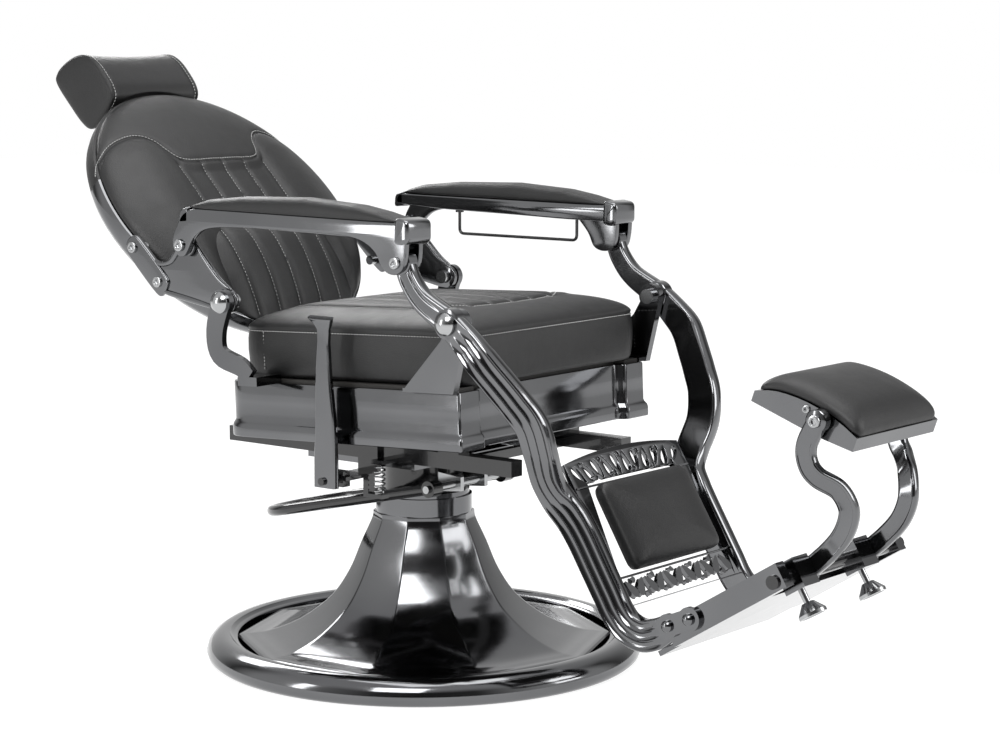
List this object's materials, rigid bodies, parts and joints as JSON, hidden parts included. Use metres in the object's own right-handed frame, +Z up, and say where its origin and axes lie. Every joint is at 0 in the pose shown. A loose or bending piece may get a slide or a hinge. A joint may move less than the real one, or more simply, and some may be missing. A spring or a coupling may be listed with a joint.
{
  "type": "hydraulic barber chair",
  "caption": "Reclining barber chair on a round flared base, with a hydraulic lift, swivel seat, padded armrests, round back, headrest and linked leg rest with a folding foot pad.",
  "frame": {"origin": "centre of the base disc's underside, on the floor under the column", "axes": "+Z up; the sitter faces -Y, so +Y is towards the back rest and headrest, and +X is the sitter's left"},
  "size_m": [0.6999, 1.6021, 0.9574],
  "materials": {
    "gunmetal": "glossy black-nickel plating",
    "black_gloss": "gloss black",
    "bright_steel": "bright turned steel",
    "black_leather": "fine grain, satin",
    "black_board": "plywood stained black"
  },
  "bodies": {
    "base": {"base_disc": "gunmetal", "base_skirt": "gunmetal", "base_collar": "black_gloss", "guide_bush": "bright_steel", "pump_cylinder": "bright_steel"},
    "lift": {"lift_ram": "bright_steel", "lift_sleeve": "black_gloss", "lift_head": "black_gloss", "thrust_washer": "bright_steel", "pedal_lugs": "bright_steel"},
    "pedal": {"pump_pedal": "black_gloss"},
    "seat": {"swivel_plate": "black_gloss", "seat_rails": "black_gloss", "seat_risers": "black_gloss", "lock_cylinder": "bright_steel", "lever_mount": "black_gloss", "lever_spring": "bright_steel", "seat_pan": "gunmetal", "seat_board": "black_board", "seat_cushion": "black_leather", "front_bracket_left": "black_gloss", "front_bracket_right": "black_gloss", "rear_bracket_left": "black_gloss", "rear_bracket_right": "black_gloss", "front_pivot_pins": "bright_steel", "rear_pivot_pins": "bright_steel"},
    "lever": {"recline_lever": "gunmetal"},
    "back": {"back_shell": "gunmetal", "back_board": "black_board", "back_cushion": "black_leather", "lumbar_cushion": "black_leather", "back_wing_left": "gunmetal", "back_wing_right": "gunmetal", "wing_bolts": "bright_steel", "armrest_pins": "bright_steel", "headrest_guide": "black_gloss"},
    "headrest": {"headrest_posts": "bright_steel", "headrest_pillow": "black_leather"},
    "armrest_left": {"armrest_tray_left": "gunmetal", "armrest_pad_left": "black_leather", "fork_bolt_left": "bright_steel", "towel_bar": "black_gloss"},
    "armrest_right": {"armrest_tray_right": "gunmetal", "armrest_pad_right": "black_leather", "fork_bolt_right": "bright_steel"},
    "legrest": {"side_frame_left": "gunmetal", "side_frame_right": "gunmetal", "calf_panel": "gunmetal", "calf_pad": "black_leather", "link_plates": "black_gloss", "foot_platform": "gunmetal", "foot_crossbar": "black_gloss", "clamp_blocks": "black_gloss"},
    "screw_left": {"thumb_screw_left": "bright_steel"},
    "screw_right": {"thumb_screw_right": "bright_steel"},
    "footrest": {"foot_arm_left": "gunmetal", "foot_arm_right": "gunmetal"},
    "foot_pad": {"foot_pad_tray": "gunmetal", "foot_pad_cushion": "black_leather", "foot_pad_bolts": "bright_steel"}
  },
  "joints": [
    {"name": "lift_slide", "type": "slide", "parent": "base", "child": "lift", "axis": [0, 0, 1], "range_m": [0, 0.15]},
    {"name": "seat_swivel", "type": "hinge", "parent": "lift", "child": "seat", "pos_m": [0, 0, 0.33], "axis": [0, 0, 1], "continuous": true},
    {"name": "pedal_pump", "type": "hinge", "parent": "lift", "child": "pedal", "pos_m": [0, -0.093, 0.292], "axis": [-1, 0, 0], "range_deg": [0, 12], "stiffness_Nm_per_rad": 20, "springref_deg": -34.38},
    {"name": "recline", "type": "hinge", "parent": "seat", "child": "back", "pos_m": [0, 0.17, 0.582], "axis": [-1, 0, 0], "range_deg": [-18, 18]},
    {"name": "legrest_swing", "type": "hinge", "parent": "seat", "child": "legrest", "pos_m": [0, -0.272, 0.578], "axis": [-1, 0, 0], "range_deg": [-18, 18]},
    {"name": "armrest_left_pivot", "type": "hinge", "parent": "back", "child": "armrest_left", "pos_m": [0, 0.256, 0.666], "axis": [-1, 0, 0], "range_deg": [-18, 18]},
    {"name": "armrest_right_pivot", "type": "hinge", "parent": "back", "child": "armrest_right", "pos_m": [0, 0.256, 0.666], "axis": [-1, 0, 0], "range_deg": [-18, 18]},
    {"name": "lever_pull", "type": "hinge", "parent": "seat", "child": "lever", "pos_m": [0, -0.022, 0.32], "axis": [1, 0, 0], "range_deg": [0, 16], "stiffness_Nm_per_rad": 6, "springref_deg": -20.05},
    {"name": "headrest_slide", "type": "slide", "parent": "back", "child": "headrest", "axis": [0, 0.6947, 0.7193], "range_m": [0, 0.06]},
    {"name": "footrest_tilt", "type": "hinge", "parent": "legrest", "child": "footrest", "pos_m": [0, -0.76285, 0.24781], "axis": [-1, 0, 0], "range_deg": [-16, 14]},
    {"name": "foot_pad_tilt", "type": "hinge", "parent": "footrest", "child": "foot_pad", "pos_m": [0, -0.80468, 0.47048], "axis": [-1, 0, 0], "range_deg": [-30, 30]},
    {"name": "screw_left_turn", "type": "hinge", "parent": "legrest", "child": "screw_left", "pos_m": [0.053, -0.77435, 0.22906], "axis": [0, -0.5225, -0.8526], "range_deg": [-180, 180]},
    {"name": "screw_right_turn", "type": "hinge", "parent": "legrest", "child": "screw_right", "pos_m": [-0.111, -0.77435, 0.22906], "axis": [0, -0.5225, -0.8526], "range_deg": [-180, 180]}
  ],
  "couplings": [
    {"joint": "legrest_swing", "follows": "recline", "ratio": 1},
    {"joint": "armrest_left_pivot", "follows": "recline", "ratio": -1},
    {"joint": "armrest_right_pivot", "follows": "recline", "ratio": -1}
  ]
}
